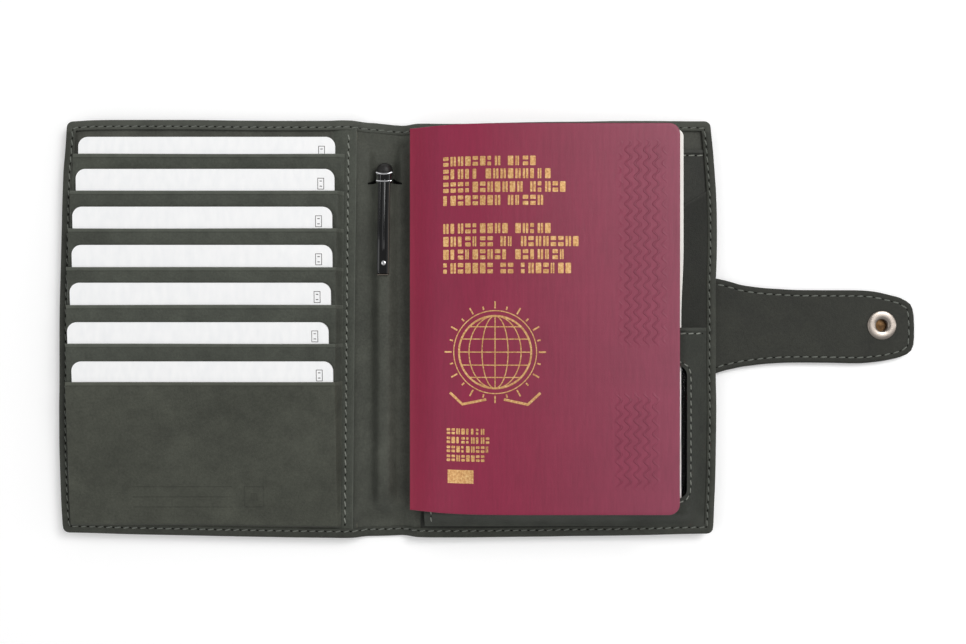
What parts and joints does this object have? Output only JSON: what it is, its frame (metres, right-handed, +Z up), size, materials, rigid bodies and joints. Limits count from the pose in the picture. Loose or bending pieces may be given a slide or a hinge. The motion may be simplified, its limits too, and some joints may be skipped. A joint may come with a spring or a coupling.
{
  "type": "passport holder",
  "caption": "Folding leather passport holder with stepped card pockets, pen sleeve, note and passport pockets, ID window and a snap strap, shown open with its contents.",
  "frame": {"origin": "middle of the spine's outer face, which the open holder rests on", "axes": "+Z up out of the open inside, +Y towards the top edge, +X towards the cover with the strap"},
  "size_m": [0.2859, 0.1383, 0.0125],
  "materials": {
    "outer_leather": "matte",
    "pocket_leather": "matte",
    "panel_leather": "matte",
    "strap_leather": "matte",
    "spine_leather": "matte",
    "lining_leather": "matte",
    "thread": "matte",
    "board": "matte",
    "rfid_foil": "satin",
    "film": "gloss",
    "snap_metal": "satin",
    "spring_steel": "polished",
    "card_plastic": "satin",
    "pen_black": "gloss",
    "pen_chrome": "polished",
    "refill_metal": "satin",
    "passport_cover": "satin",
    "passport_paper": "matte"
  },
  "bodies": {
    "right_cover": {"outer_leather_right": "outer_leather", "right_board": "board", "right_rfid_foil": "rfid_foil", "right_lining": "lining_leather", "note_pocket_panel": "panel_leather", "boarding_pocket_panel": "panel_leather", "passport_pocket_panel": "panel_leather", "id_window_film": "film", "right_edge_stitching": "thread", "note_pocket_stitching": "thread", "passport_pocket_stitching": "thread", "window_stitching": "thread", "strap_root_outer": "strap_leather", "strap_root_inner": "strap_leather", "strap_root_stitching": "thread"},
    "spine": {"outer_leather_spine": "spine_leather", "spine_lining": "lining_leather", "pen_sleeve": "spine_leather", "spine_stitching": "thread"},
    "left_cover": {"outer_leather_left": "outer_leather", "left_board": "board", "left_rfid_foil": "rfid_foil", "left_lining": "lining_leather", "card_pocket_1": "pocket_leather", "card_pocket_2": "pocket_leather", "card_pocket_3": "pocket_leather", "card_pocket_4": "pocket_leather", "card_pocket_5": "pocket_leather", "card_pocket_6": "pocket_leather", "card_pocket_7": "pocket_leather", "pocket_seam_strip": "pocket_leather", "left_edge_stitching": "thread", "card_strip_stitching": "thread", "snap_stud": "snap_metal", "snap_post": "snap_metal"},
    "strap_bridge": {"strap_bridge_outer": "strap_leather", "strap_bridge_inner": "strap_leather"},
    "strap_tab": {"strap_tab_outer": "strap_leather", "strap_tab_inner": "strap_leather", "strap_stitching": "thread", "snap_cap": "snap_metal", "snap_socket": "snap_metal", "snap_spring": "spring_steel"},
    "passport": {"passport_back_cover": "passport_cover", "passport_pages": "passport_paper"},
    "passport_front": {"passport_front_cover": "passport_cover"},
    "pen": {"pen_barrel": "pen_black", "pen_tip": "pen_chrome", "pen_collar": "pen_chrome", "pen_clip": "pen_black", "pen_clip_rivet": "pen_chrome"},
    "pen_twist_end": {"pen_crown": "pen_black"},
    "refill": {"pen_refill": "refill_metal"},
    "card_1": {"card_1": "card_plastic"},
    "card_2": {"card_2": "card_plastic"},
    "card_3": {"card_3": "card_plastic"},
    "card_4": {"card_4": "card_plastic"},
    "card_5": {"card_5": "card_plastic"},
    "card_6": {"card_6": "card_plastic"},
    "card_7": {"card_7": "card_plastic"}
  },
  "joints": [
    {"name": "spine_fold", "type": "hinge", "parent": "right_cover", "child": "spine", "pos_m": [0.0085, 0, 0.0051], "axis": [0, 1, 0], "range_deg": [0, 90]},
    {"name": "cover_fold", "type": "hinge", "parent": "spine", "child": "left_cover", "pos_m": [-0.0085, 0, 0.0051], "axis": [0, 1, 0], "range_deg": [0, 90]},
    {"name": "strap_bend", "type": "hinge", "parent": "right_cover", "child": "strap_bridge", "pos_m": [0.1122, 0, 0.0018], "axis": [0, -1, 0], "range_deg": [0, 90]},
    {"name": "strap_wrap", "type": "hinge", "parent": "strap_bridge", "child": "strap_tab", "pos_m": [0.1368, 0, 0.0018], "axis": [0, -1, 0], "range_deg": [0, 90]},
    {"name": "card_1_slide", "type": "slide", "parent": "left_cover", "child": "card_1", "axis": [0, 1, 0], "range_m": [0, 0.004]},
    {"name": "card_2_slide", "type": "slide", "parent": "left_cover", "child": "card_2", "axis": [0, 0.9994, 0.0349], "range_m": [0, 0.048]},
    {"name": "card_3_slide", "type": "slide", "parent": "left_cover", "child": "card_3", "axis": [0, 0.9982, 0.0593], "range_m": [0, 0.048]},
    {"name": "card_4_slide", "type": "slide", "parent": "left_cover", "child": "card_4", "axis": [0, 0.9971, 0.0767], "range_m": [0, 0.048]},
    {"name": "card_5_slide", "type": "slide", "parent": "left_cover", "child": "card_5", "axis": [0, 0.9962, 0.0872], "range_m": [0, 0.048]},
    {"name": "card_6_slide", "type": "slide", "parent": "left_cover", "child": "card_6", "axis": [0, 0.9956, 0.0941], "range_m": [0, 0.048]},
    {"name": "card_7_slide", "type": "slide", "parent": "left_cover", "child": "card_7", "axis": [0, 0.9951, 0.0993], "range_m": [0, 0.048]},
    {"name": "passport_slide", "type": "slide", "parent": "right_cover", "child": "passport", "axis": [0, 1, 0], "range_m": [0, 0.176]},
    {"name": "passport_open", "type": "hinge", "parent": "passport", "child": "passport_front", "pos_m": [0.009, 0, 0.00965], "axis": [0, -1, 0], "range_deg": [0, 140]},
    {"name": "pen_slide", "type": "slide", "parent": "spine", "child": "pen", "axis": [0, 1, 0], "range_m": [0, 0.06]},
    {"name": "pen_twist", "type": "hinge", "parent": "pen", "child": "pen_twist_end", "pos_m": [0, 0.052, 0.005], "axis": [0, 1, 0], "range_deg": [0, 180]},
    {"name": "refill_extend", "type": "slide", "parent": "pen", "child": "refill", "axis": [0, -1, 0], "range_m": [0, 0.003]}
  ],
  "couplings": [
    {"joint": "cover_fold", "follows": "spine_fold", "ratio": 1}
  ]
}
